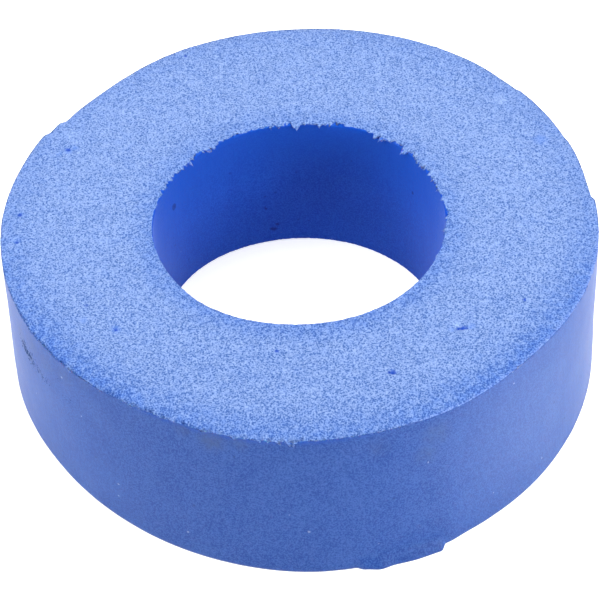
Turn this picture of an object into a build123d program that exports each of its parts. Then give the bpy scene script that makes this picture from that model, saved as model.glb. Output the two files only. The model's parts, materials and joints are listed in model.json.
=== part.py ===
from build123d import *
import os

# A thick flat-faced ring of fine-celled foam, all one piece.
# It stands on its lower sawn face: the origin is at the centre of that face, on the bore's axis,
# and +Z runs up the bore. All sizes are in millimetres.

OUTER_DIAMETER = 102.0
BORE_DIAMETER = 50.0
HEIGHT = 28.5
# How far the soft foam rounds off where a wall meets a sawn face.
RIM_ROUNDING = 0.4


def foam_ring():
    """The ring: round inner and outer walls between two parallel sawn faces."""
    with BuildPart() as ring:
        with BuildSketch(Plane.XY):
            Circle(OUTER_DIAMETER / 2)
            Circle(BORE_DIAMETER / 2, mode=Mode.SUBTRACT)
        extrude(amount=HEIGHT)
        rims = ring.edges().filter_by(GeomType.CIRCLE)
        fillet(rims, radius=RIM_ROUNDING)
    return ring.part


os.makedirs("parts", exist_ok=True)
export_step(foam_ring(), "parts/foam_ring.step")
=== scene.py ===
import json
import math

import bpy
import numpy as np
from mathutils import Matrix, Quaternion, Vector, noise


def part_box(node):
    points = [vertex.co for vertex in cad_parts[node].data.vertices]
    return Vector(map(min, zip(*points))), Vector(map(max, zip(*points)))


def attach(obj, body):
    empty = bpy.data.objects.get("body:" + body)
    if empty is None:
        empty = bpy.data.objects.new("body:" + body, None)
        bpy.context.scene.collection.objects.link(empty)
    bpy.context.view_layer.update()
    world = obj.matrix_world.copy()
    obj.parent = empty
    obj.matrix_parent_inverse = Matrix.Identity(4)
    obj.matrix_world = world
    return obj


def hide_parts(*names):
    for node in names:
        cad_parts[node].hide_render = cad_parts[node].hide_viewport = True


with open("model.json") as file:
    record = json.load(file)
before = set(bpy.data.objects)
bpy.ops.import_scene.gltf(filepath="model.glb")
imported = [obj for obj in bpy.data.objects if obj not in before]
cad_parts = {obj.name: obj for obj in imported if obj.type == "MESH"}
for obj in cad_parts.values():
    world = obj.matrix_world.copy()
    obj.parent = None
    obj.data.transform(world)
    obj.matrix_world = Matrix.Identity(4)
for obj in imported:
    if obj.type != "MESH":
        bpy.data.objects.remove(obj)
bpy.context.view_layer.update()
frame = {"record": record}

# A thick ring of blue fine-celled foam, sawn flat above and below, with smooth walls.
# Lengths are in millimetres and angles in degrees until a mesh, light or camera is made.
# An angle round the ring is counted from +X towards +Y, so the ring's front, at -Y, is at 270.

MM = 0.001
RNG = np.random.default_rng(7)
LOW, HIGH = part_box("foam_ring")
OUTER = (HIGH.x - LOW.x) / 2 / MM
TOP = HIGH.z / MM
BORE = next(m["dims"]["r_mm"] for m in frame["record"]["mounts"] if m["name"] == "bore")


# ---------------------------------------------------------------- small helpers

def turn(angle, towards):
    """The signed angle from one direction to another, between -180 and 180."""
    return (angle - towards + 180.0) % 360.0 - 180.0


def lobe(angle, centre, width):
    """A smooth hump round the ring: 1 at its centre and fading to nothing within about two widths."""
    return np.exp(-((turn(angle, centre) / width) ** 2))


def ramp(value, start, end):
    """0 before start, 1 after end, and smooth between them. End may be below start."""
    share = np.clip((value - start) / (end - start), 0.0, 1.0)
    return share * share * (3.0 - 2.0 * share)


def closeness(distance, reach):
    """1 at no distance, falling evenly to 0 at that reach."""
    return 1 - np.clip(distance / reach, 0, 1)


def arc(angle, start, end, soft):
    """1 between two angles, with ends that take soft degrees to fade."""
    middle = start + ((end - start) % 360.0) / 2
    half = ((end - start) % 360.0) / 2
    away = np.abs(turn(angle, middle))
    return ramp(away, half + soft / 2, half - soft / 2)


def drift(angle, start, full, back):
    """0 at start, growing smoothly to 1 at full, and back to 0 within about a degree of back.
    The three angles may run either way round."""
    sign = math.copysign(1.0, turn(back, start))
    gone = turn(angle, start) * sign
    end = abs(turn(back, start))
    return ramp(gone, 0.0, abs(turn(full, start))) * ramp(gone, end + 0.7, end - 0.7)


def rough(points, size, seed):
    """Smooth noise of about that size at each point, between -1 and 1."""
    shift = Vector((17.3 * seed, -9.1 * seed, 4.7 * seed))
    return np.array([noise.noise(Vector(p) / size + shift) for p in points])


# ---------------------------------------------------------------- the ring's shape

# The ring isn't quite round. Each hump is (centre angle, width in degrees, height).
RIM_HUMPS = [(62, 36, 1.25), (178, 25, 0.3), (240, 20, -1.15), (280, 20, -0.75), (316, 16, -1.0),
             (347, 12, 0.25), (2, 8, 0.15)]
FOOT_HUMPS = [(275, 34, 2.6), (320, 27, 0.88), (213, 15, -0.35), (66, 30, 0.5), (135, 25, -0.6),
              (295.5, 2.5, 0.28)]
BORE_RIM_HUMPS = [(50, 16, 0.5), (112, 40, -0.75), (158, 15, -0.2), (232, 15, 0.3), (270, 15, -0.15)]
BORE_FOOT_HUMPS = [(90, 60, -0.45), (138, 28, 0.6)]
RIM_RADIUS = OUTER - 0.62
FOOT_RADIUS = OUTER
BORE_RADIUS = BORE - 0.12
# Where the cut that freed the ring drifted inwards and jumped back out, as
# (start, full, back, how far in), and the share of that depth which is left at the foot.
DRIFTS = [(112, 137, 146.6, 0.75), (112, 137, 151.2, 0.6), (50, 42, 38.5, 0.3), (30, 22, 21, 0.15),
          (19, 5, 3.5, 0.5)]
DRIFT_AT_FOOT = 0.35
# How far from each rim the faces start to turn into one another, and how far they turn.
RIM_SOFTNESS = 0.5
TURN_IN = 0.15
# The upper face droops by this much towards the outer rim, over this width.
RIM_DROOP = 0.3
DROOP_WIDTH = 3.5


def humps(angle, table):
    return sum(height * lobe(angle, centre, width) for centre, width, height in table)


def outer_radius(angle, level):
    """The outer wall's radius at an angle and a level from 0 at the foot to 1 at the top."""
    rim = RIM_RADIUS + humps(angle, RIM_HUMPS)
    foot = FOOT_RADIUS + humps(angle, FOOT_HUMPS)
    return foot + (rim - foot) * level


def bore_radius(angle, level):
    rim = BORE_RADIUS + humps(angle, BORE_RIM_HUMPS)
    foot = BORE_RADIUS + humps(angle, BORE_FOOT_HUMPS)
    return foot + (rim - foot) * level


def graded(length, fine, coarse):
    """Distances from 0 to length, with their gaps: fine ones at both ends and coarse ones between."""
    mean = (fine + coarse) / 2
    spread = (coarse - fine) / (coarse + fine)
    share = np.linspace(0.0, 1.0, math.ceil(length / mean) + 1)
    place = length * (share - spread * np.sin(2 * np.pi * share) / (2 * np.pi))
    return list(zip(place, mean * (1 - spread * np.cos(2 * np.pi * share))))


LOWER, WALL, UPPER, INSIDE = range(4)
# The gaps between points, as (at the edges, between the edges).
GAPS = {LOWER: (0.4, 0.75), WALL: (0.34, 1.6), UPPER: (0.3, 0.48), INSIDE: (0.3, 1.2)}
# How far the points of the sawn faces are shaken, as a share of their gap.
LOOSE = 0.3


def section_rows():
    """The rows of points round the ring, as (radius, height, gap, zone).
    They go out across the lower face, up the wall, in across the upper face and down the bore."""
    width = OUTER - BORE
    rows = [(BORE + place, 0.0, gap, LOWER) for place, gap in graded(width, *GAPS[LOWER])[:-1]]
    rows += [(OUTER, place, gap, WALL) for place, gap in graded(TOP, *GAPS[WALL])[:-1]]
    rows += [(OUTER - place, TOP, gap, UPPER) for place, gap in graded(width, *GAPS[UPPER])[:-1]]
    rows += [(BORE, TOP - place, gap, INSIDE) for place, gap in graded(TOP, *GAPS[INSIDE])[:-1]]
    return rows


def scatter(rows):
    """Points on every row, shaken a little on the sawn faces so that no rows show."""
    angle, radius, height, zone, starts = [], [], [], [], [0]
    for number, (row_radius, row_height, gap, row_zone) in enumerate(rows):
        count = round(2 * math.pi * row_radius / gap)
        step = 360.0 / count
        turns = (np.arange(count) + 0.5 * (number % 2)) * step
        first = number == 0 or rows[number - 1][3] != row_zone
        loose = LOOSE if row_zone in (LOWER, UPPER) and not first else 0.0
        angle.append(turns + RNG.uniform(-loose, loose, count) * step)
        radius.append(row_radius + RNG.uniform(-loose, loose, count) * gap)
        height.append(np.full(count, row_height))
        zone.append(np.full(count, row_zone))
        starts.append(starts[-1] + count)
    return [np.concatenate(part) for part in (angle, radius, height, zone)] + [starts]


def zipper(first, first_turns, second, second_turns):
    """Triangles between two closed rows of points that need not have the same count."""
    faces, i, j = [], 0, 0
    here = np.append(first_turns, first_turns[0] + 360.0)
    there = np.append(second_turns, second_turns[0] + 360.0)
    while i < len(first_turns) or j < len(second_turns):
        a, b = first + i % len(first_turns), second + j % len(second_turns)
        if j == len(second_turns) or (i < len(first_turns) and here[i + 1] <= there[j + 1]):
            i += 1
            faces.append((a, first + i % len(first_turns), b))
        else:
            j += 1
            faces.append((a, second + j % len(second_turns), b))
    return faces


# ---------------------------------------------------------------- marks in the foam

# Pits in the upper face, as (radius from the axis, angle, how wide, how deep).
PITS = [(38.7, 291.4, 0.5, 0.6), (38.5, 290.6, 0.3, 0.3), (39.1, 219, 0.4, 0.35), (40.0, 208, 0.3, 0.3),
        (47.7, 176, 0.4, 0.35), (47.8, 184, 0.35, 0.3), (48.3, 114, 0.35, 0.3), (44.5, 154, 0.5, 0.25),
        (31.0, 262, 0.3, 0.2), (42.0, 330, 0.3, 0.2), (33.5, 20, 0.3, 0.2), (29.5, 150, 0.3, 0.2)]
# A nick in the upper face, from one (radius, angle) to another, with a flap of foam turned up behind it.
NICK = ((36.7, 312.6), (37.9, 315.0))
NICK_WIDTH = 0.34
NICK_DEPTH = 0.5
NICK_FLAP = 0.25
# Flakes that hang over the bore's upper edge, as (angle, width in degrees, how far they reach).
BORE_FLAKES = [(143, 1.2, 0.9), (140.5, 0.8, 0.5), (130, 1.2, 0.8), (127, 0.9, 1.0), (122, 0.8, 0.4),
               (97, 0.7, 0.6), (95, 0.9, 1.0), (91, 0.8, 0.8), (88.8, 0.6, 0.8), (86, 0.6, 0.4),
               (79.5, 0.7, 0.7), (76, 0.9, 1.2), (74, 0.5, 0.7), (56, 1.0, 1.2), (53.5, 0.9, 0.8),
               (51, 0.9, 0.6), (46, 1.1, 0.6), (42, 0.9, 0.9), (39.5, 0.8, 0.5), (33, 0.9, 0.6),
               (29.5, 1.0, 0.9), (21, 0.9, 0.6), (15, 1.1, 0.6), (9, 1.0, 0.4), (351, 1.2, 0.4),
               (336, 1.0, 0.4), (170, 1.2, 0.3)]
# Flakes that hang over the outer wall's upper edge, as (angle, width in degrees, how far they hang).
WALL_FLAKES = [(267.4, 0.85, 1.2), (265.2, 0.6, 0.8), (263.2, 0.5, 0.5), (261.5, 0.4, 0.4),
               (257, 0.5, 0.5), (251, 0.5, 0.4), (243.5, 0.5, 0.5), (236, 0.6, 0.4), (229, 0.6, 0.5),
               (221, 0.5, 0.5), (273, 0.5, 0.3)]
# How ragged the upper edges are between two angles, as (from, to, how ragged), and everywhere else.
BORE_FRAY = [(126, 162, 0.5), (104, 126, 0.15), (86, 102, 0.65), (70, 83, 0.5), (14, 58, 0.6),
             (345, 12, 0.25)]
BORE_FRAY_ELSEWHERE = 0.05
RIM_FRAY = [(203, 283, 0.46), (287, 353, 0.09)]
RIM_FRAY_ELSEWHERE = 0.06
# A thin web of foam left on the lower edge, between two angles, flaring out of the wall above it.
# It starts narrow, gets wider along the edge, and swells once near its start.
WEB = (278.6, 294.0)
WEB_REACH = 1.25
WEB_HEIGHT = 2.6
WEB_NARROW = 0.45
WEB_SWELL = 0.5
# The stretch of the outer wall whose skin stands up as a thin lip round the upper face.
LIP = (287, 353)
LIP_WIDTH = 0.45
LIP_DEPTH = 0.3
LIP_HEIGHT = 0.16


def flat(radius, angle):
    """X and Y of a radius and an angle."""
    return radius * np.cos(np.radians(angle)), radius * np.sin(np.radians(angle))


def on_cylinder(angle, reach, height):
    return (*flat(reach, angle), height)


def pit_depth(x, y):
    """How deep the pits and the nick go at a place on the upper face, and how much painted shade they give
    it there.
    """
    depth = np.zeros_like(x)
    hollow = np.zeros_like(x)
    for radius, angle, width, deep in PITS:
        px, py = flat(radius, angle)
        share = np.exp(-((x - px) ** 2 + (y - py) ** 2) / width ** 2)
        depth += deep * share
        hollow = np.maximum(hollow, share)
    (ax, ay), (bx, by) = flat(*NICK[0]), flat(*NICK[1])
    length = math.hypot(bx - ax, by - ay)
    along = ((x - ax) * (bx - ax) + (y - ay) * (by - ay)) / length
    across = ((x - ax) * (by - ay) - (y - ay) * (bx - ax)) / length
    inside = ramp(along, -0.5, 0.5) * ramp(along, length + 0.5, length - 0.5)
    trench = inside * np.exp(-((across / NICK_WIDTH) ** 2))
    flap = inside * np.exp(-(((across + 2.6 * NICK_WIDTH) / (1.3 * NICK_WIDTH)) ** 2))
    depth += NICK_DEPTH * trench - NICK_FLAP * flap
    return depth, np.maximum(hollow, trench)


def uneven_radius(angle, radius, level):
    """The plain ring's radius, moved between the real outlines of the bore and the outer wall."""
    share = np.clip((radius - BORE) / (OUTER - BORE), 0.0, 1.0)
    inner, outer = bore_radius(angle, level), outer_radius(angle, level)
    r = inner + share * (outer - inner)
    depth = DRIFT_AT_FOOT + (1 - DRIFT_AT_FOOT) * level
    for start, full, back, inward in DRIFTS:
        r -= inward * drift(angle, start, full, back) * share ** 6 * depth
    return r


def raggedness(angle, stretches, elsewhere, soft):
    return elsewhere + sum(ragged * arc(angle, start, end, soft) for start, end, ragged in stretches)


class WornRing:
    """The plain ring's points, which each method bends a little further into the worn ring."""

    def __init__(self, angle, radius, height, zone):
        self.angle = angle
        self.on_top = zone == UPPER
        self.on_foot = zone == LOWER
        self.on_wall = zone == WALL
        self.on_bore = zone == INSIDE
        self.from_rim = OUTER - radius
        self.from_bore = radius - BORE
        self.below_top = TOP - height
        self.above_foot = height
        self.r = uneven_radius(angle, radius, height / TOP)
        self.z = height.copy()
        self.plain = self.points()
        self.outer_rim = self.on_top * closeness(self.from_rim, 0.9)
        self.outer_rim = self.outer_rim + self.on_wall * closeness(self.below_top, 0.5)
        self.bore_rim = self.on_top * closeness(self.from_bore, 0.9)
        self.bore_rim = self.bore_rim + self.on_bore * closeness(self.below_top, 0.4) ** 2
        self.flaky = np.zeros_like(self.r)

    def points(self):
        x, y = flat(self.r, self.angle)
        return np.stack([x, y, self.z], axis=1)

    def soften(self):
        """Gives the walls slow waves, and turns them softly into the sawn faces."""
        wave = 0.12 * rough(self.plain, 14.0, 1) + 0.04 * rough(self.plain, 4.0, 2)
        self.r += self.on_wall * wave + self.on_bore * 0.7 * wave
        into_foam = self.on_bore * 1.0 - self.on_wall * 1.0
        from_edge = np.minimum(self.below_top, self.above_foot)
        self.r += TURN_IN * into_foam * closeness(from_edge, RIM_SOFTNESS) ** 2
        from_wall = np.minimum(self.from_rim, self.from_bore)
        turn_down = TURN_IN * closeness(from_wall, RIM_SOFTNESS) ** 2
        droop = RIM_DROOP * closeness(self.from_rim, DROOP_WIDTH) ** 2
        self.z -= self.on_top * (turn_down + droop)
        self.z += self.on_foot * turn_down

    def raise_lip(self):
        """Stands the wall's skin up round the upper face."""
        there = arc(self.angle, *LIP, 8)
        on_wall = self.on_wall * there * closeness(self.below_top, LIP_DEPTH)
        self.lip = self.on_top * there * closeness(self.from_rim, LIP_WIDTH) + on_wall
        self.z += LIP_HEIGHT * self.lip

    def roughen(self):
        """Stands every cell of the sawn faces at its own height, over a slight waviness from the saw."""
        grain = RNG.normal(0.0, 1.0, len(self.angle)).clip(-2.2, 2.2)
        saw = 0.10 * rough(self.plain, 9.0, 3) + 0.05 * rough(self.plain, 2.5, 4)
        self.z += self.on_top * (0.06 * grain * (1 - self.lip) + saw)
        self.z += self.on_foot * (np.abs(0.05 * grain) + 0.5 * np.abs(saw))

    def tear(self):
        """Makes the two upper rims ragged."""
        coarse, fine = rough(self.plain, 1.6, 5), rough(self.plain, 0.6, 6)
        self.fray = coarse + 0.8 * fine
        self.tatter = RNG.uniform(-1.0, 1.0, len(self.angle))
        ragged = raggedness(self.angle, RIM_FRAY, RIM_FRAY_ELSEWHERE, 20) * self.outer_rim
        self.r += ragged * (0.6 * self.fray + 0.3 * self.tatter)
        self.z += ragged * (0.9 * self.fray + 0.4 * self.tatter - 0.5)
        ragged = raggedness(self.angle, BORE_FRAY, BORE_FRAY_ELSEWHERE, 8) * self.bore_rim
        self.r -= ragged * (0.15 + coarse + 2.0 * fine + 0.5 * self.tatter)
        self.z -= ragged * (0.4 + 0.5 * self.fray + 0.4 * self.tatter)

    def hang(self, flakes, rim, left, outwards, downwards):
        """Hangs a table's flakes over a rim. Left is how much of its flake is left at each point."""
        for centre, width, reach in flakes:
            flake = lobe(self.angle, centre, width) * reach * left * rim
            self.r += outwards * flake
            self.z -= downwards * flake
            self.flaky = np.maximum(self.flaky, np.clip(flake / 0.5, 0, 1))

    def hang_flakes(self):
        left = np.clip(0.65 + 0.5 * self.fray + 0.4 * self.tatter, 0, None)
        self.hang(BORE_FLAKES, self.bore_rim, left, outwards=-0.65, downwards=0.45)
        left = np.clip(0.85 + 0.2 * self.tatter, 0, None)
        self.hang(WALL_FLAKES, self.outer_rim, left, outwards=0.2, downwards=1.0)

    def spread_web(self):
        """Draws the web of foam out of the lower edge."""
        widening = WEB_NARROW + (1 - WEB_NARROW) * ramp(turn(self.angle, WEB[0]), 0.0, 11.0)
        web = arc(self.angle, *WEB, 1.6) * WEB_REACH * widening
        web += WEB_SWELL * lobe(self.angle, WEB[0] + 3.4, 1.8)
        low_down = self.on_wall * ramp(self.above_foot, WEB_HEIGHT, 0.2) ** 1.5
        self.r += web * (low_down + self.on_foot * closeness(self.from_rim, 3.0))

    def dent(self):
        """Sinks the pits and the nick into the upper face, and keeps the lower one out of the floor."""
        depth, hollow = pit_depth(*flat(self.r, self.angle))
        self.hollow = hollow * self.on_top
        self.z -= self.on_top * depth
        self.z = np.where(self.on_foot, np.maximum(self.z, 0.0), self.z)


def shape_points(angle, radius, height, zone):
    """Bends the plain ring's points into the worn foam ring.
    Returns the points, with how much painted shade from the pits each gets, how flaky and how like the lip
    each looks, from 0 to 1."""
    ring = WornRing(angle, radius, height, zone)
    ring.soften()
    ring.raise_lip()
    ring.roughen()
    ring.tear()
    ring.hang_flakes()
    ring.spread_web()
    ring.dent()
    return ring.points(), {"hollow": ring.hollow, "flaky": ring.flaky, "lip": ring.lip}


# Specks of dirt on the outer wall. Each band of them runs from one (angle, height) to another, and has
# how many there are, how far they stray from the straight line between, and the biggest one's size.
SPECKS = [((203.0, 20.9), (207.2, 20.2), 95, 0.9, 0.26), ((202.4, 21.2), (208.5, 20.0), 80, 1.3, 0.12),
          ((207.8, 20.0), (213.2, 19.3), 44, 0.5, 0.16), ((203.0, 24.6), (218.0, 23.5), 36, 1.4, 0.08),
          ((216.8, 23.3), (218.0, 23.3), 4, 0.3, 0.15), ((217.5, 19.3), (221.0, 19.8), 8, 0.5, 0.14),
          ((224.0, 24.2), (226.5, 22.6), 8, 0.4, 0.12), ((243.0, 27.2), (259.0, 26.8), 30, 0.7, 0.11),
          ((290.0, 26.0), (296.0, 19.0), 12, 2.0, 0.10), ((55.0, 18.0), (68.0, 23.0), 14, 1.2, 0.16),
          ((112.0, 8.0), (126.0, 11.0), 12, 1.0, 0.14)]
SPECK_SIDES = 6
# How far a speck's middle stands up from the wall, and how far its rim and its root lie below it.
SPECK_RISE = 0.04
SPECK_SINK = 0.01
SPECK_ROOT = 0.12


def speck(centre, angle, size):
    """The points of one closed, low, uneven lump: its rim, its middle and its root in the wall."""
    out = np.array([math.cos(angle), math.sin(angle), 0.0])
    side = np.array([-math.sin(angle), math.cos(angle), 0.0])
    up = np.array([0.0, 0.0, 1.0])
    points = []
    for step in range(SPECK_SIDES):
        around = 2 * math.pi * step / SPECK_SIDES
        width = size * RNG.uniform(0.6, 1.2)
        rim = side * (width * math.cos(around)) + up * (width * math.sin(around))
        points.append(centre + rim - SPECK_SINK * out)
    return points + [centre + SPECK_RISE * out, centre - SPECK_ROOT * out]


def speck_sides(first):
    """The triangles of one lump, whose rim starts at the point with that number."""
    faces = []
    for step in range(SPECK_SIDES):
        here, there = first + step, first + (step + 1) % SPECK_SIDES
        faces.append((here, there, first + SPECK_SIDES))
        faces.append((there, here, first + SPECK_SIDES + 1))
    return faces


def dirt_specks():
    """The points and faces of every speck on the wall."""
    points, faces = [], []
    for (angle_from, height_from), (angle_to, height_to), count, stray, biggest in SPECKS:
        share = RNG.uniform(0.0, 1.0, count)
        angle = angle_from + share * (angle_to - angle_from)
        angle = angle + np.degrees(RNG.normal(0.0, stray, count) / OUTER)
        height = height_from + share * (height_to - height_from)
        height = height + RNG.normal(0.0, 0.8 * stray, count)
        height = np.clip(height, 1.0, TOP - 1.0)
        sizes = biggest * RNG.uniform(0.35, 1.0, count)
        middles = shape_points(angle, np.full(count, OUTER), height, np.full(count, WALL))[0]
        for centre, turned, size in zip(middles, np.radians(angle), sizes):
            faces += speck_sides(len(points))
            points += speck(centre, turned, size)
    return np.array(points), faces


SAWN, SKIN, BORE_SKIN, DIRTY = range(4)
FINISH = {LOWER: SAWN, WALL: SKIN, UPPER: SAWN, INSIDE: BORE_SKIN}
TORN_DEPTH = 0.45


def finish(row, after):
    """Which material covers the strip between two rows. Torn foam shows just under the outer rim."""
    torn = row[3] == WALL and min(row[1], after[1]) > TOP - TORN_DEPTH
    return SAWN if torn else FINISH[row[3]]


def foam_ring():
    """The whole ring as one mesh: sawn foam above and below, skin on both walls, dirt on the outer one."""
    rows = section_rows()
    angle, radius, height, zone, starts = scatter(rows)
    faces, materials = [], []
    for number in range(len(rows)):
        after = (number + 1) % len(rows)
        first, second = starts[number], starts[after]
        first_turns = angle[first:starts[number + 1]]
        second_turns = angle[second:starts[after + 1]]
        made = zipper(first, first_turns, second, second_turns)
        faces += made
        materials += [finish(rows[number], rows[after])] * len(made)
    points, looks = shape_points(angle, radius, height, zone)
    speck_points, speck_faces = dirt_specks()
    faces += [tuple(len(points) + corner for corner in face) for face in speck_faces]
    materials += [DIRTY] * len(speck_faces)
    looks = {name: np.append(values, np.zeros(len(speck_points))) for name, values in looks.items()}
    points = np.concatenate([points, speck_points])
    mesh = bpy.data.meshes.new("foam_ring_worn")
    mesh.from_pydata((points * MM).tolist(), [], faces)
    mesh.polygons.foreach_set("material_index", materials)
    mesh.polygons.foreach_set("use_smooth", [True] * len(faces))
    for name, values in looks.items():
        layer = mesh.attributes.new(name, "FLOAT", "POINT")
        layer.data.foreach_set("value", values.astype(np.float32))
    mesh.update()
    mesh.validate()
    ring = bpy.data.objects.new("foam_ring_worn", mesh)
    bpy.context.scene.collection.objects.link(ring)
    return ring


# ---------------------------------------------------------------- materials

class Shader:
    """A small helper that adds nodes to one material and links them."""

    def __init__(self, name):
        self.material = bpy.data.materials.new(name)
        self.material.use_nodes = True
        self.tree = self.material.node_tree
        self.bsdf = self.tree.nodes["Principled BSDF"]
        place = self.add("ShaderNodeTexCoord").outputs["Object"]
        self.place = self.maths("MULTIPLY", place, (1 / MM, 1 / MM, 1 / MM), vector=True)

    def add(self, kind, **settings):
        made = self.tree.nodes.new(kind)
        for key, value in settings.items():
            setattr(made, key, value)
        return made

    def put(self, socket, value):
        if isinstance(value, bpy.types.NodeSocket):
            self.tree.links.new(value, socket)
        else:
            socket.default_value = value

    def maths(self, operation, first, second=None, third=None, vector=False, clamp=False):
        made = self.add("ShaderNodeVectorMath" if vector else "ShaderNodeMath", operation=operation)
        if not vector:
            made.use_clamp = clamp
        for socket, value in zip(made.inputs, (first, second, third)):
            if value is not None:
                self.put(socket, value)
        return made.outputs[0]

    def noise(self, size, detail=2.0, where=None):
        made = self.add("ShaderNodeTexNoise")
        self.put(made.inputs["Vector"], where or self.place)
        made.inputs["Scale"].default_value = 1 / size
        made.inputs["Detail"].default_value = detail
        return made.outputs["Fac"]

    def cells(self, size, where=None):
        made = self.add("ShaderNodeTexVoronoi")
        self.put(made.inputs["Vector"], where or self.place)
        made.inputs["Scale"].default_value = 1 / size
        return made

    def between(self, value, low, high, to_low=0.0, to_high=1.0):
        made = self.add("ShaderNodeMapRange", interpolation_type="SMOOTHSTEP")
        for name, given in (("Value", value), ("From Min", low), ("From Max", high),
                            ("To Min", to_low), ("To Max", to_high)):
            self.put(made.inputs[name], given)
        return made.outputs["Result"]

    def mix(self, share, first, second, blend="MIX"):
        """One colour laid over another. A Mix node's colour sockets come after its number sockets."""
        made = self.add("ShaderNodeMix", data_type="RGBA", blend_type=blend)
        self.put(made.inputs[0], share)
        for socket, colour in ((made.inputs[6], first), (made.inputs[7], second)):
            self.put(socket, (*colour, 1.0) if isinstance(colour, tuple) else colour)
        return made.outputs[2]

    def lay(self, colour, share, strength, over):
        """A colour with another one over it, wherever share is above 0, at that strength."""
        return self.mix(self.maths("MULTIPLY", share, strength), colour, over)

    def from_axis(self):
        """How far each point is from the ring's axis, in millimetres."""
        flat_place = self.maths("MULTIPLY", self.place, (1.0, 1.0, 0.0), vector=True)
        made = self.add("ShaderNodeVectorMath", operation="LENGTH")
        self.put(made.inputs[0], flat_place)
        return made.outputs["Value"]

    def parts(self, vector):
        made = self.add("ShaderNodeSeparateXYZ")
        self.put(made.inputs[0], vector)
        return made.outputs

    def look(self, name):
        """One of the numbers that the mesh carries at its points."""
        return self.add("ShaderNodeAttribute", attribute_name=name).outputs["Fac"]

    def shaken(self, amount, size):
        """The place, pushed about by noise, so that what is drawn there has uneven edges."""
        made = self.add("ShaderNodeTexNoise")
        self.put(made.inputs["Vector"], self.place)
        made.inputs["Scale"].default_value = 1 / size
        made.inputs["Detail"].default_value = 2.0
        push = self.maths("SUBTRACT", made.outputs["Color"], (0.5, 0.5, 0.5), vector=True)
        return self.maths("MULTIPLY_ADD", push, (2 * amount,) * 3, self.place, vector=True)

    def spot(self, centre, near, far, where=None):
        """1 within near of a point and 0 beyond far, in millimetres."""
        away = self.maths("SUBTRACT", where or self.place, centre, vector=True)
        made = self.add("ShaderNodeVectorMath", operation="LENGTH")
        self.put(made.inputs[0], away)
        return self.between(made.outputs["Value"], far, near)

    def flecks(self, spacing, size, share, where):
        """Scattered small marks: only that share of the cells has one, and each has its own size."""
        cell = self.cells(spacing, where=where)
        chance = self.add("ShaderNodeSeparateColor")
        self.put(chance.inputs[0], cell.outputs["Color"])
        reach = self.between(chance.outputs[0], 1.0 - share, 1.0, 0.0, size / spacing)
        inside = self.maths("SUBTRACT", reach, cell.outputs["Distance"])
        return self.maths("MULTIPLY", inside, 3.0 * spacing / size, clamp=True)

    def surface(self, colour, roughness, height, distance, strength, **constants):
        """Finishes the material, with bump of that distance in millimetres and its constant sockets."""
        self.put(self.bsdf.inputs["Base Color"], colour)
        self.put(self.bsdf.inputs["Roughness"], roughness)
        for name, value in constants.items():
            self.bsdf.inputs[name.replace("_", " ")].default_value = value
        bump = self.add("ShaderNodeBump")
        bump.inputs["Strength"].default_value = strength
        bump.inputs["Distance"].default_value = distance * MM
        self.put(bump.inputs["Height"], height)
        self.put(self.bsdf.inputs["Normal"], bump.outputs["Normal"])
        return self.material


# The sawn faces' colours.
PALE = (0.164, 0.238, 0.442)
SHADE = (0.18, 0.34, 0.56)
# Painted shade: a deep blue laid in the pits and the nick, as if shade falls into them.
PIT_SHADE_BLUE = (0.001, 0.036, 0.280)
RIM_TINT = (0.52, 0.72, 1.0)
FLAKE = (0.170, 0.270, 0.520)
# Painted highlight: a paler blue for the skin's raised lip, where its edge catches the light.
LIP_HIGHLIGHT = (0.170, 0.240, 0.540)
# Painted shade: a deep blue for sawn faces that turn sideways or down, away from the light above.
TURNED_AWAY_SHADE = (0.004, 0.050, 0.300)
SPOT_BLUE = (0.060, 0.140, 0.430)
# How wide one cell of the foam looks.
CELL = 0.38
# Soft spots on the upper face, as (angle, radius from the axis, size, strength, colour).
TOP_SPOTS = [(38, 46.5, 1.8, 0.35, (0.240, 0.330, 0.540)), (22.7, 46.2, 1.8, 0.5, SPOT_BLUE),
             (152.8, 43.6, 1.0, 0.5, SPOT_BLUE), (154.4, 44.4, 1.1, 0.6, SPOT_BLUE),
             (156, 45.4, 1.0, 0.4, SPOT_BLUE), (149.5, 46.3, 2.0, 0.3, (0.220, 0.320, 0.560)),
             (313.9, 36.2, 1.1, 0.35, (0.240, 0.340, 0.580)),
             (311.6, 36.3, 0.9, 0.5, (0.070, 0.150, 0.440)),
             (315.8, 38.2, 0.9, 0.5, (0.070, 0.150, 0.440)),
             (291.4, 38.7, 1.0, 0.5, (0.060, 0.140, 0.420)),
             (219, 39.1, 1.2, 0.5, SPOT_BLUE), (212, 42.0, 1.0, 0.4, SPOT_BLUE),
             (184, 47.8, 1.0, 0.5, (0.050, 0.130, 0.430)),
             (176, 47.6, 1.0, 0.4, (0.050, 0.130, 0.430))]


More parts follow.
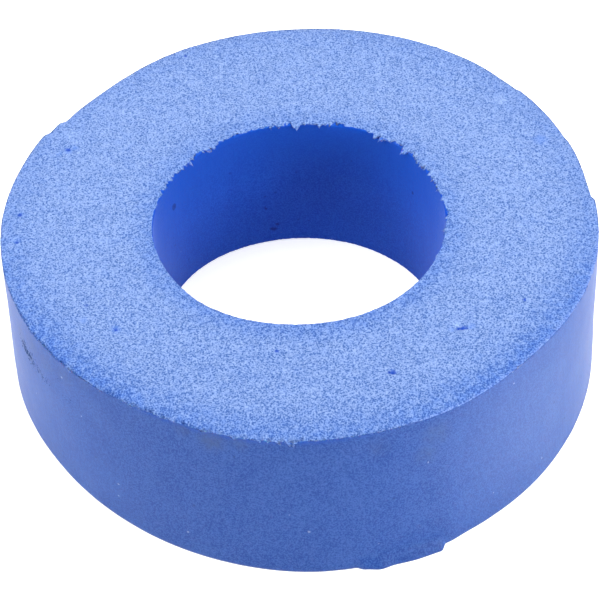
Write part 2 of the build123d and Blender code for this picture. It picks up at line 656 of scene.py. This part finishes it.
def sawn_foam():
    """The sawn faces: open cells with pale walls round small dark pits, deeper blue near the rims, painted
    shade at the front.
    """
    s = Shader("sawn_foam")
    pit = s.between(s.cells(CELL).outputs["Distance"], 0.62, 0.15)
    speckle = s.noise(0.26, detail=1.0)
    tone = s.maths("MULTIPLY_ADD", pit, -0.75, 0.78)
    tone = s.maths("ADD", tone, s.maths("MULTIPLY_ADD", speckle, 2.4, -1.2))

    radius = s.maths("ADD", s.from_axis(), s.maths("MULTIPLY_ADD", s.noise(3.0), 3.0, -1.5))
    along = s.parts(s.place)[1]
    # Deeper blue bands along both rims: the foam's own edge colour, made stronger towards the front as
    # painted shade.
    outer_band = s.maths("POWER", s.between(radius, OUTER - 14.5, OUTER - 0.5), 3.2)
    outer_band = s.maths("MULTIPLY", outer_band, s.between(along, 10.0, -38.0, 0.2, 0.85))
    outer_band = s.maths("MULTIPLY", outer_band, s.between(along, -36.0, -48.0, 1.0, 0.65))
    bore_band = s.between(radius, BORE + 5.5, BORE)
    bore_band = s.maths("MULTIPLY", bore_band, s.between(along, 20.0, -15.0, 0.3, 0.5))
    clumps = s.between(s.noise(1.3, detail=2.0), 0.35, 0.65, 0.55, 1.3)
    band = s.maths("MULTIPLY", s.maths("MAXIMUM", outer_band, bore_band), clumps)
    # Painted shade: the face gets a little darker towards the front.
    tone = s.maths("SUBTRACT", tone, s.between(along, 0.0, -45.0, 0.0, 0.07))
    tone = s.maths("MULTIPLY_ADD", band, -0.24, tone, clamp=True)

    mottle = s.between(s.noise(1.6, detail=3.0), 0.35, 0.75, 0.0, 0.22)
    tinted = s.maths("ADD", band, mottle, clamp=True)
    colour = s.mix(tinted, PALE, tuple(p * t for p, t in zip(PALE, RIM_TINT)))
    colour = s.mix(tone, s.mix(1.0, colour, SHADE, "MULTIPLY"), colour)
    # Painted shade: faces that turn sideways or down get a deep blue.
    facing_up = s.parts(s.add("ShaderNodeNewGeometry").outputs["Normal"])[2]
    colour = s.mix(s.between(facing_up, 0.6, 0.1, 0.0, 0.75), colour, TURNED_AWAY_SHADE)
    # Painted highlight on the lip.
    colour = s.lay(colour, s.look("lip"), s.between(speckle, 0.35, 0.6, 0.1, 0.5), LIP_HIGHLIGHT)
    colour = s.lay(colour, s.look("flaky"), 0.4, FLAKE)
    for angle, reach, size, strength, tint in TOP_SPOTS:
        place = on_cylinder(angle, reach, TOP)
        there = s.spot(place, 0.1 * size, size, where=s.shaken(0.5, 1.2))
        colour = s.lay(colour, there, strength, tint)
    # Painted shade in the pits and the nick.
    colour = s.mix(s.between(s.look("hollow"), 0.15, 0.7, 0.0, 0.88), colour, PIT_SHADE_BLUE)
    relief = s.maths("MULTIPLY_ADD", pit, -1.0, s.maths("MULTIPLY", speckle, 0.8))
    roughness = s.between(tone, 0.0, 1.0, 0.95, 0.78)
    return s.surface(colour, roughness, relief, 0.08, strength=0.8, IOR=1.28, Sheen_Weight=0.05,
                     Sheen_Roughness=0.5)


# The outer skin's colours.
WALL_DEEP = (0.0, 0.028, 0.176)
WALL_LIGHT = (0.022, 0.069, 0.246)
# Painted shade: a deeper blue just under the front of the upper rim.
WALL_UNDER_RIM = (0.001, 0.042, 0.270)
SMUDGE_GREY = (0.032, 0.055, 0.130)
# Pale dust for the flecks, also laid thinly on the right of the outer wall as a painted sheen.
DUST_AND_SHEEN = (0.400, 0.460, 0.560)
DARK_FLECK = (0.003, 0.025, 0.120)
# Grey smudges on the outer wall, as (angle, height, size, strength).
SMUDGES = [(203.6, 20.9, 1.7, 0.9), (206.4, 20.4, 1.7, 0.9), (210.6, 19.7, 1.5, 0.6),
           (208, 24.4, 3.0, 0.5), (213, 24.2, 3.2, 0.42), (219, 25.2, 3.2, 0.4), (202, 23, 3.0, 0.45),
           (225, 27.0, 2.4, 0.5), (246.5, 27.2, 2.8, 0.85), (252.5, 26.6, 3.8, 0.85),
           (258, 27.0, 2.6, 0.6), (294, 24.6, 4.0, 0.4), (292, 21.0, 3.0, 0.35), (283, 25, 3.0, 0.3),
           (340, 12, 3.0, 0.3), (62, 20, 3.0, 0.5), (120, 9, 3.0, 0.5), (20, 6, 2.5, 0.4)]
# The middle of a paler patch on the right of the outer wall, a painted sheen, as (angle, radius, height).
SHEEN_PATCH = (318, OUTER, 15)
# The colours of the dirt's lumps.
DIRT = (0.020, 0.040, 0.105)
DIRT_PALE = (0.040, 0.070, 0.170)
# The bore's colours.
BORE_DEEP = (0.0, 0.040, 0.325)
BORE_LIGHT = (0.008, 0.073, 0.415)
# Painted shade: a darker blue towards the top of the bore.
BORE_UPPER_SHADE = (0.0, 0.043, 0.300)
# Painted light: a brighter blue just under the back of the bore's upper edge, as if light shines through
# the foam there.
BORE_RIM_GLOW = (0.0, 0.066, 0.450)
BORE_DARK = (0.0, 0.017, 0.175)
# Dark specks in the bore, as (angle, height, size, strength).
BORE_SPOTS = [(152, 21.4, 1.2, 1.0), (104, 8.9, 1.0, 0.7), (101, 3.3, 1.3, 0.7), (103, 9.6, 0.8, 0.7),
              (99, 4.4, 1.1, 0.6), (36, 19.7, 0.6, 0.7), (70, 20, 0.7, 0.5), (250, 14, 0.9, 0.7),
              (300, 8, 0.8, 0.6)]


def skin_texture(s, deep, light):
    """Close, fine skin with faint upright streaks. Returns its colour, its relief and its fine grain."""
    fine = s.noise(0.27, detail=1.0)
    grit = s.noise(0.7, detail=2.0)
    drawn = s.maths("MULTIPLY", s.place, (1.0, 1.0, 0.08), vector=True)
    streaks = s.noise(0.8, detail=2.0, where=drawn)
    cloud = s.noise(7.0, detail=3.0)
    tone = s.maths("MULTIPLY_ADD", fine, 3.2, -1.6)
    tone = s.maths("ADD", tone, s.maths("MULTIPLY_ADD", grit, 0.8, -0.4))
    tone = s.maths("MULTIPLY_ADD", cloud, 0.6, tone)
    tone = s.maths("MULTIPLY_ADD", streaks, 0.4, tone, clamp=True)
    relief = s.maths("ADD", s.maths("MULTIPLY", fine, 0.6), s.maths("MULTIPLY", streaks, 0.4))
    return s.mix(tone, deep, light), relief, fine


def spots_on(s, spots, reach):
    """How much each place is in any of the spots, from 0 to their strength. Noise makes their edges
    uneven."""
    total = None
    where = s.shaken(0.7, 1.2)
    for angle, height, size, strength in spots:
        there = s.spot(on_cylinder(angle, reach, height), 0.1 * size, size, where=where)
        there = s.maths("MULTIPLY", there, strength)
        total = there if total is None else s.maths("MAXIMUM", total, there)
    return total


def wall_skin():
    """The outer skin: painted shade under the front rim, smudged, a painted sheen on the right, and
    flecked.
    """
    s = Shader("wall_skin")
    colour, relief, fine = skin_texture(s, WALL_DEEP, WALL_LIGHT)
    height = s.parts(s.shaken(0.5, 0.8))[2]
    across, along = s.parts(s.place)[:2]
    at_front = s.maths("MULTIPLY_ADD", across, 0.19, s.maths("MULTIPLY", along, 0.98))
    at_front = s.between(at_front, -44.0, -49.0, 0.0, 0.6)
    # Painted shade under the front rim.
    colour = s.lay(colour, s.between(height, TOP - 1.6, TOP - 0.5), at_front, WALL_UNDER_RIM)
    patchy = s.between(s.noise(0.9), 0.35, 0.6, 0.55, 1.0)
    dirty = s.maths("MULTIPLY", spots_on(s, SMUDGES, OUTER), patchy)
    colour = s.lay(colour, dirty, 0.75, SMUDGE_GREY)
    # Painted sheen: a faint pale patch on the right of the outer wall.
    colour = s.lay(colour, s.spot(on_cylinder(*SHEEN_PATCH), 3.0, 31.0), 0.056, DUST_AND_SHEEN)
    uneven = s.shaken(0.25, 0.6)
    colour = s.lay(colour, s.flecks(2.8, 0.26, 0.45, uneven), 0.28, DUST_AND_SHEEN)
    colour = s.lay(colour, s.flecks(2.3, 0.30, 0.3, uneven), 0.6, DARK_FLECK)
    # Painted highlight on the lip.
    colour = s.lay(colour, s.look("lip"), 0.45, LIP_HIGHLIGHT)
    roughness = s.between(fine, 0.2, 0.8, 0.5, 0.68)
    roughness = s.maths("MAXIMUM", roughness, dirty)
    return s.surface(colour, roughness, relief, 0.04, strength=0.7, IOR=1.32, Sheen_Weight=0.18,
                     Sheen_Roughness=0.3, Subsurface_Weight=0.3, Subsurface_Scale=0.8 * MM)


def dirt():
    """Dry grey-blue dirt, with next to no shine."""
    s = Shader("dirt")
    fine = s.noise(0.2, detail=2.0)
    colour = s.mix(s.between(fine, 0.35, 0.65), DIRT, DIRT_PALE)
    roughness = s.between(fine, 0.3, 0.7, 0.85, 1.0)
    return s.surface(colour, roughness, fine, 0.03, strength=0.5, IOR=1.05)


def bore_skin():
    """The bore's skin: a deeper blue towards the top as painted shade, with a painted glow just under the
    back of its upper edge.
    """
    s = Shader("bore_skin")
    colour, relief, fine = skin_texture(s, BORE_DEEP, BORE_LIGHT)
    height = s.parts(s.shaken(0.5, 0.8))[2]
    along = s.parts(s.place)[1]
    # Painted shade towards the top.
    colour = s.mix(s.between(height, TOP - 15.0, TOP - 2.0, 0.0, 0.6), colour, BORE_UPPER_SHADE)
    at_back = s.between(along, 0.0, 15.0)
    # Painted light shining through the foam just under the back of the upper edge.
    rim_glow = s.maths("MULTIPLY", s.between(height, TOP - 1.8, TOP - 0.4), at_back)
    colour = s.lay(colour, rim_glow, 0.15, BORE_RIM_GLOW)
    colour = s.mix(s.between(spots_on(s, BORE_SPOTS, BORE), 0.15, 0.5, 0.0, 0.9), colour, BORE_DARK)
    colour = s.lay(colour, s.look("flaky"), 0.5, FLAKE)
    uneven = s.shaken(0.25, 0.6)
    colour = s.lay(colour, s.flecks(3.0, 0.28, 0.35, uneven), 0.14, DUST_AND_SHEEN)
    colour = s.lay(colour, s.flecks(2.0, 0.32, 0.35, uneven), 0.5, BORE_DARK)
    roughness = s.between(fine, 0.2, 0.8, 0.5, 0.7)
    return s.surface(colour, roughness, relief, 0.04, strength=0.6, IOR=1.20, Sheen_Weight=0.12,
                     Sheen_Roughness=0.3, Subsurface_Weight=0.3, Subsurface_Scale=0.8 * MM)


# ---------------------------------------------------------------- floor, lights and camera

WHITE = (1.0, 1.0, 1.0, 1.0)
# The paper is a square of this size, in metres. It glows so that no shadow greys it, and its glow grows
# from left to right over this many millimetres each side of the ring's middle.
PAPER_SIZE = 6.0
PAPER = (0.6, 0.6, 0.6, 1.0)
GLOW_LEFT = 0.45
GLOW_RIGHT = 0.95
GLOW_SPREAD = 120.0


def paper_floor():
    bpy.ops.mesh.primitive_plane_add(size=PAPER_SIZE)
    floor = bpy.context.object
    floor.name = "floor"
    s = Shader("white_paper")
    s.bsdf.inputs["Base Color"].default_value = PAPER
    s.bsdf.inputs["Roughness"].default_value = 0.9
    s.bsdf.inputs["Emission Color"].default_value = WHITE
    across = s.parts(s.place)[0]
    glow = s.between(across, -GLOW_SPREAD, GLOW_SPREAD, GLOW_LEFT, GLOW_RIGHT)
    s.put(s.bsdf.inputs["Emission Strength"], glow)
    floor.data.materials.append(s.material)


# The soft boxes, as (name, place, width, height, power), in metres and watts. They all face the origin.
LIGHTS = [("overhead", (0.0, 0.15, 0.9), 1.3, 0.6, 15.8),
          ("left", (-0.88, -0.14, 0.27), 0.6, 0.6, 13.0),
          ("right", (0.74, -0.50, 0.27), 0.5, 0.5, 12.8),
          ("behind", (0.3, 0.95, 0.4), 0.8, 0.8, 4.5)]
WORLD_LIGHT = 0.2


def soft_light(name, place, width, height, power):
    light = bpy.data.lights.new(name, "AREA")
    light.shape = "RECTANGLE"
    light.size = width
    light.size_y = height
    light.energy = power
    lamp = bpy.data.objects.new(name, light)
    lamp.location = place
    lamp.rotation_euler = (Vector() - Vector(place)).to_track_quat("-Z", "Y").to_euler()
    bpy.context.scene.collection.objects.link(lamp)


def studio():
    world = bpy.data.worlds.new("studio")
    world.use_nodes = True
    background = world.node_tree.nodes["Background"]
    background.inputs["Color"].default_value = WHITE
    background.inputs["Strength"].default_value = WORLD_LIGHT
    bpy.context.scene.world = world
    for light in LIGHTS:
        soft_light(*light)
    bpy.context.scene.view_settings.view_transform = "Standard"


# The camera stands this many degrees up and this far from the middle of the ring, and looks at AIM.
ELEVATION = 45.0
DISTANCE = 426.0
AIM = (-0.3, 0.0, 8.8)
ROLL = 2.0
FOCAL_LENGTH = 147.0


def photographer():
    """The camera looks down at the ring's front, and is rolled a little."""
    data = bpy.data.cameras.new("camera")
    data.lens = FOCAL_LENGTH
    data.clip_start = 10 * MM
    camera = bpy.data.objects.new("camera", data)
    lift = math.radians(ELEVATION)
    place = Vector((0.0, -math.cos(lift), math.sin(lift))) * DISTANCE + Vector((0.0, 0.0, TOP / 2))
    facing = (Vector(AIM) - place).to_track_quat("-Z", "Y")
    camera.rotation_mode = "QUATERNION"
    camera.rotation_quaternion = facing @ Quaternion((0, 0, 1), -math.radians(ROLL))
    camera.location = place * MM
    bpy.context.scene.collection.objects.link(camera)
    bpy.context.scene.camera = camera


photographer()
studio()
paper_floor()
ring = foam_ring()
ring.data.materials.append(sawn_foam())
ring.data.materials.append(wall_skin())
ring.data.materials.append(bore_skin())
ring.data.materials.append(dirt())
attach(ring, "root")
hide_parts("foam_ring")
